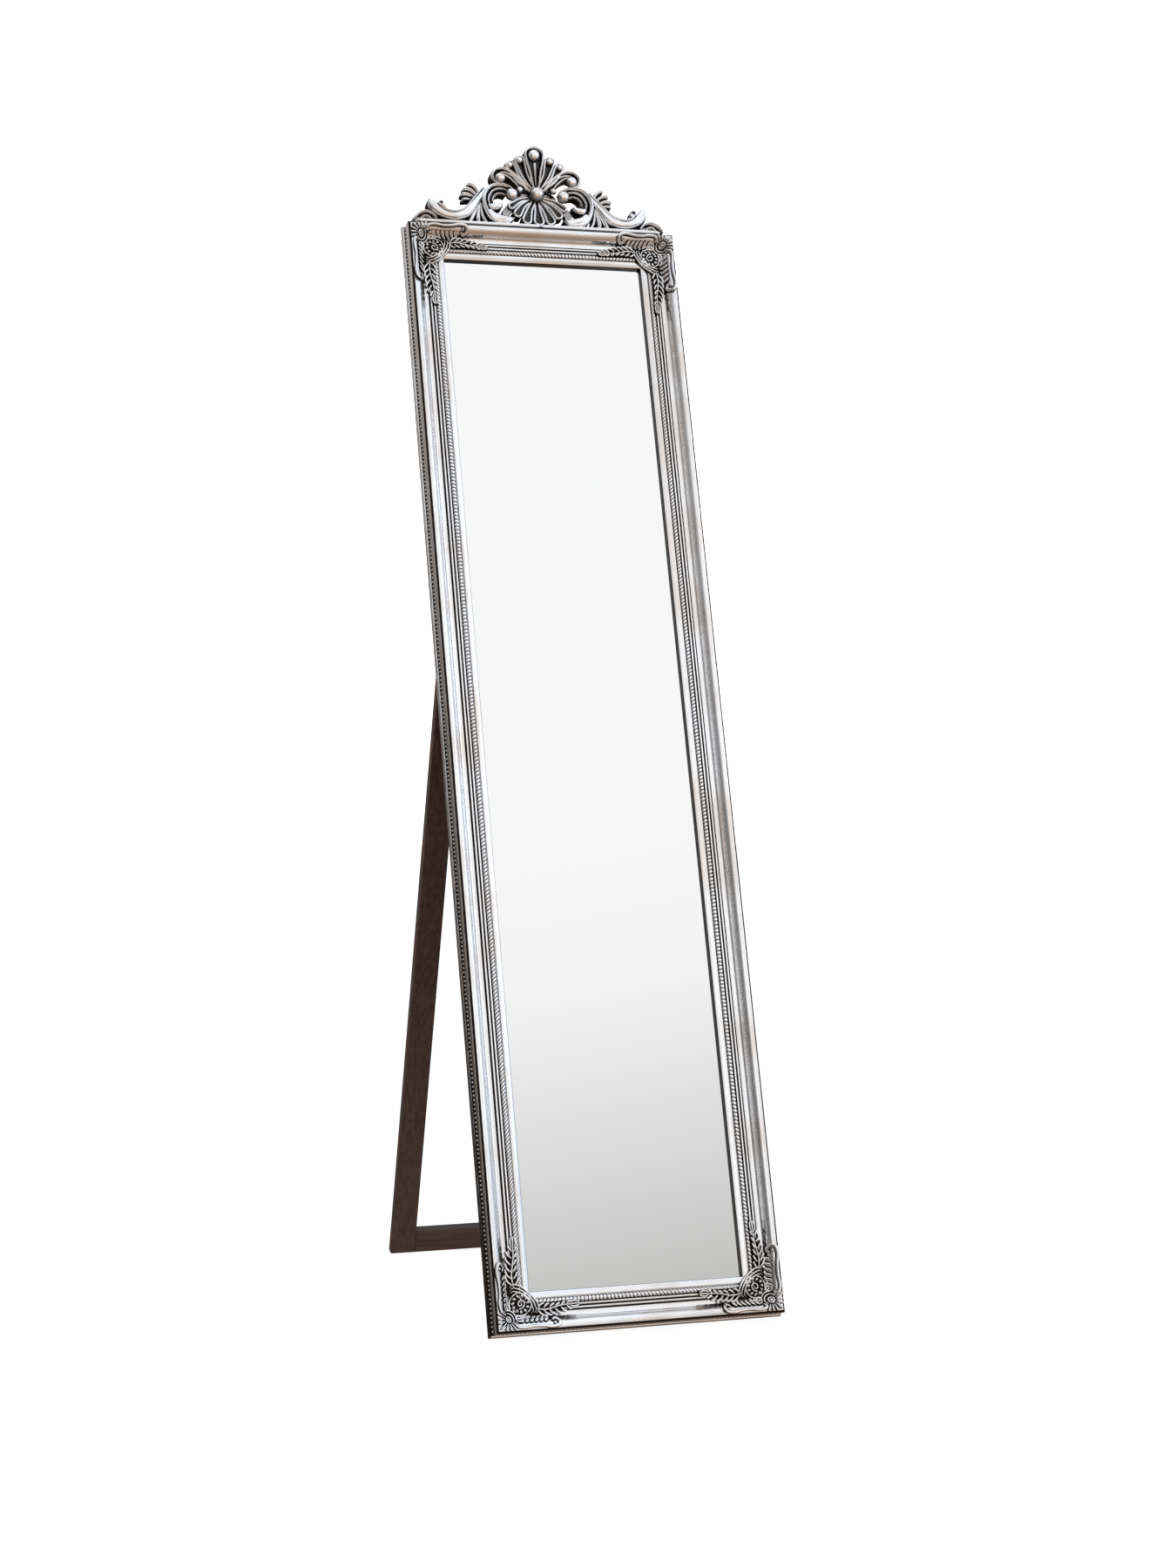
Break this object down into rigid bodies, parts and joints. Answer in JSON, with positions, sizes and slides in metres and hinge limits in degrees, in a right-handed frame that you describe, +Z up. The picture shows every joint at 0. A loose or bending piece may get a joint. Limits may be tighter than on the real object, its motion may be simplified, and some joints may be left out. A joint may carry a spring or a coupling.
{
  "type": "leaning floor mirror",
  "caption": "Tall silvered moulded-frame floor mirror with a pierced scroll crest and cast corners, leaning back on a folding wooden rear strut.",
  "frame": {"origin": "middle of the flat on which the frame's lower rail stands on the floor", "axes": "+Z up, the mirror faces -Y, +X to the right of a person who looks into it from the front"},
  "size_m": [0.455, 0.6576, 1.8245],
  "materials": {
    "silvered_wood": "silver leaf over warm ground, dark patina in the quirks",
    "silvered_casting": "silver leaf on cast composition, dark patina in the recesses",
    "mirror": "silvered glass",
    "backing_board": "brown fibre board",
    "bright_steel": "plain steel",
    "hinge_metal": "brassed steel",
    "peg_wood": "plain hardwood",
    "dark_wood": "dark brown stain, satin"
  },
  "bodies": {
    "frame": {"left_stile": "silvered_wood", "right_stile": "silvered_wood", "top_rail": "silvered_wood", "bottom_rail": "silvered_wood", "rope_trim_left": "silvered_casting", "rope_trim_right": "silvered_casting", "rope_trim_top": "silvered_casting", "rope_trim_bottom": "silvered_casting", "bead_trim_left": "silvered_casting", "bead_trim_right": "silvered_casting", "bead_trim_top": "silvered_casting", "bead_trim_bottom": "silvered_casting", "corner_ornament_top_left": "silvered_casting", "corner_ornament_top_right": "silvered_casting", "corner_ornament_bottom_left": "silvered_casting", "corner_ornament_bottom_right": "silvered_casting", "crest": "silvered_casting", "crest_dowels": "peg_wood", "mirror_glass": "mirror", "back_panel": "backing_board", "panel_points": "bright_steel", "mitre_nails": "bright_steel", "hinge_frame_leaf_left": "hinge_metal", "hinge_frame_leaf_right": "hinge_metal", "hinge_pin_left": "hinge_metal", "hinge_pin_right": "hinge_metal", "hinge_frame_screws": "hinge_metal"},
    "strut": {"strut_left_rail": "dark_wood", "strut_right_rail": "dark_wood", "strut_top_rail": "dark_wood", "strut_bottom_rail": "dark_wood", "strut_dowels": "peg_wood", "hinge_strut_leaf_left": "hinge_metal", "hinge_strut_leaf_right": "hinge_metal", "hinge_strut_screws": "hinge_metal"}
  },
  "joints": [
    {"name": "strut_fold", "type": "hinge", "parent": "frame", "child": "strut", "pos_m": [0, 0.29175, 0.93246], "axis": [-1, 0, 0], "range_deg": [0, 35]}
  ]
}
